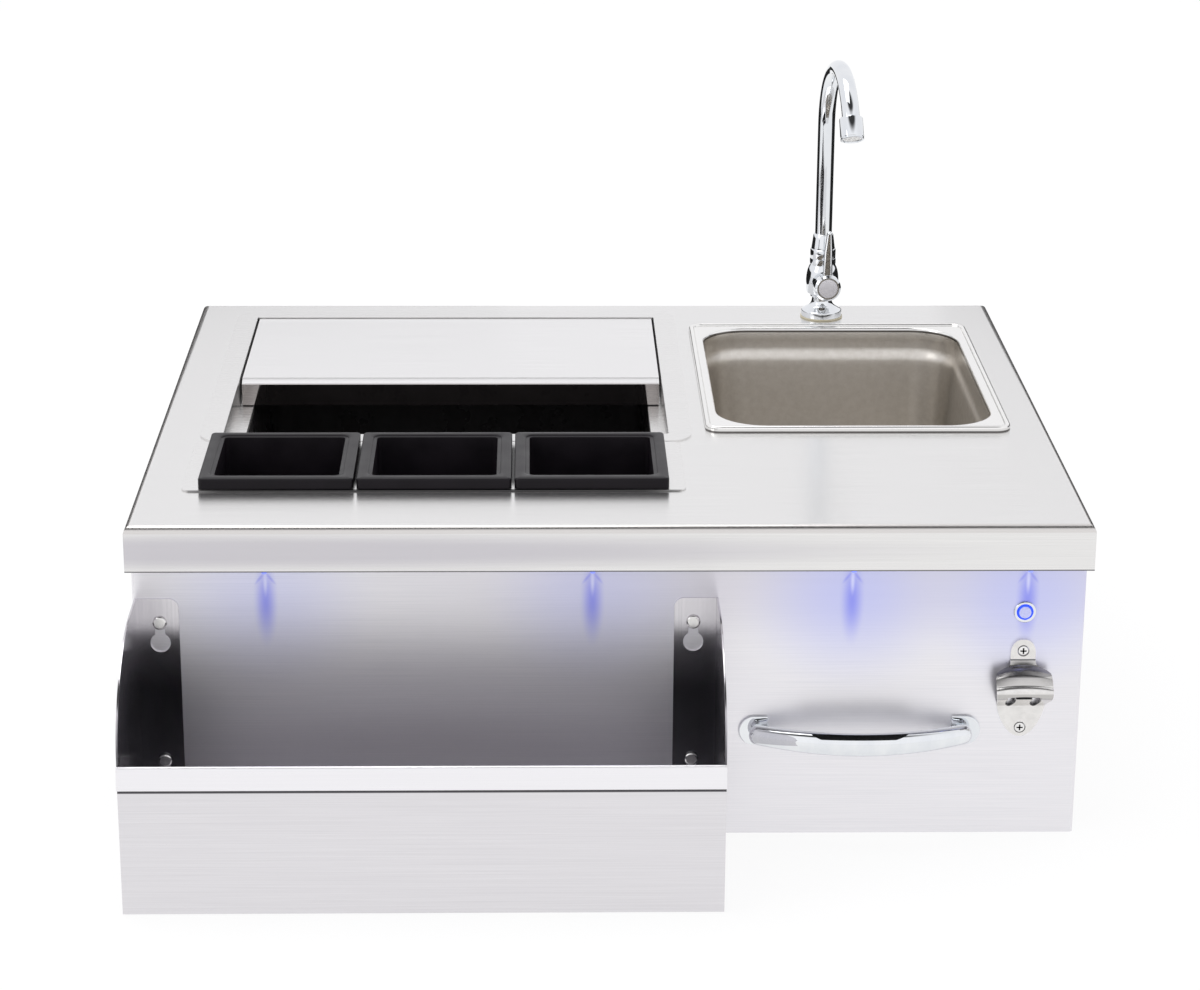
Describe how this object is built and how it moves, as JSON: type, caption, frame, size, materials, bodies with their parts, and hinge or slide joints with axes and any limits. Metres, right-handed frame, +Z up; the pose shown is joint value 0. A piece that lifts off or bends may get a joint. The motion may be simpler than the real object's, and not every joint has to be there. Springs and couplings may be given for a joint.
{
  "type": "bar sink with ice bin",
  "caption": "Built-in steel bar centre with an insulated ice bin, sliding lid, lift-out trays, sink with gooseneck tap, speed rail, towel bar and bottle opener.",
  "frame": {"origin": "below the middle of the object's box, on the plane that the cabinet rests on", "axes": "+X to the user's right along the front, +Y from the user to the back, +Z up"},
  "size_m": [0.762, 0.787, 0.53],
  "materials": {
    "brushed_stainless": "brushed",
    "satin_stainless": "satin",
    "galvanised_steel": "satin",
    "polished_stainless": "polished",
    "chrome_plate": "mirror polished",
    "black_plastic": "satin moulded",
    "white_plastic": "moulded",
    "index_plate": "gloss",
    "foam": "foam",
    "black_rubber": "matte",
    "cream_gasket": "matte",
    "brass": "machined",
    "blue_light": "lit",
    "lens": "clear",
    "button_white": "satin"
  },
  "bodies": {
    "cabinet": {"countertop": "satin_stainless", "front_panel": "brushed_stainless", "left_side_panel": "brushed_stainless", "right_side_panel": "brushed_stainless", "back_panel": "brushed_stainless", "ice_bin_frame": "satin_stainless", "ice_bin_liner": "black_plastic", "ice_bin_insulation": "foam", "ice_bin_jacket": "galvanised_steel", "ice_drain_fitting": "polished_stainless", "ice_drain_gasket": "black_rubber", "ice_drain_locknut": "white_plastic", "tray_holder": "satin_stainless", "sink_bowl": "satin_stainless", "sink_clips": "galvanised_steel", "drain_flange": "polished_stainless", "drain_gasket": "black_rubber", "drain_locknut": "galvanised_steel", "drain_tailpiece": "chrome_plate", "drain_slip_nut": "chrome_plate", "faucet_gasket": "cream_gasket", "faucet_body": "chrome_plate", "faucet_shank": "brass", "faucet_washer": "galvanised_steel", "faucet_locknut": "brass", "valve_cartridge": "white_plastic", "cartridge_nut": "chrome_plate", "spout_bush": "white_plastic", "spout_nut": "chrome_plate", "button_housing": "chrome_plate", "button_light_ring": "blue_light", "button_nut": "galvanised_steel", "led_holders": "chrome_plate", "led_lenses": "lens", "towel_bar": "chrome_plate", "towel_bar_flanges": "chrome_plate", "towel_bar_screws": "galvanised_steel", "bottle_opener": "polished_stainless", "opener_screws": "polished_stainless", "rail_studs": "polished_stainless", "rail_stud_nuts": "galvanised_steel"},
    "lid": {"lid_cover": "satin_stainless", "lid_glides": "black_plastic"},
    "tray_left": {"tray_left": "black_plastic"},
    "tray_middle": {"tray_middle": "black_plastic"},
    "tray_right": {"tray_right": "black_plastic"},
    "strainer": {"drain_basket": "polished_stainless"},
    "spout": {"spout_tube": "chrome_plate", "aerator_housing": "chrome_plate", "aerator_screen": "polished_stainless"},
    "handle": {"handle_lever": "chrome_plate", "valve_stem": "brass", "handle_screw": "polished_stainless", "index_button": "index_plate"},
    "button": {"button_cap": "button_white"},
    "speed_rail": {"rail_trough": "brushed_stainless", "rail_end_left": "polished_stainless", "rail_end_right": "polished_stainless"}
  },
  "joints": [
    {"name": "lid_slide", "type": "slide", "parent": "cabinet", "child": "lid", "axis": [0, -1, 0], "range_m": [0, 0.16]},
    {"name": "tray_left_lift", "type": "slide", "parent": "cabinet", "child": "tray_left", "axis": [0, 0, 1], "range_m": [0, 0.11]},
    {"name": "tray_middle_lift", "type": "slide", "parent": "cabinet", "child": "tray_middle", "axis": [0, 0, 1], "range_m": [0, 0.11]},
    {"name": "tray_right_lift", "type": "slide", "parent": "cabinet", "child": "tray_right", "axis": [0, 0, 1], "range_m": [0, 0.11]},
    {"name": "strainer_lift", "type": "slide", "parent": "cabinet", "child": "strainer", "axis": [0, 0, 1], "range_m": [0, 0.04]},
    {"name": "spout_swivel", "type": "hinge", "parent": "cabinet", "child": "spout", "pos_m": [0.216, 0.3505, 0.4], "axis": [0, 0, 1], "continuous": true},
    {"name": "handle_turn", "type": "hinge", "parent": "cabinet", "child": "handle", "pos_m": [0.21862, 0.32061, 0.306], "axis": [-0.0872, 0.9962, 0], "range_deg": [0, 90]},
    {"name": "button_press", "type": "slide", "parent": "cabinet", "child": "button", "axis": [0, 1, 0], "range_m": [0, 0.002], "stiffness_N_per_m": 400},
    {"name": "rail_lift", "type": "slide", "parent": "cabinet", "child": "speed_rail", "axis": [0, 0, 1], "range_m": [0, 0.017]}
  ]
}
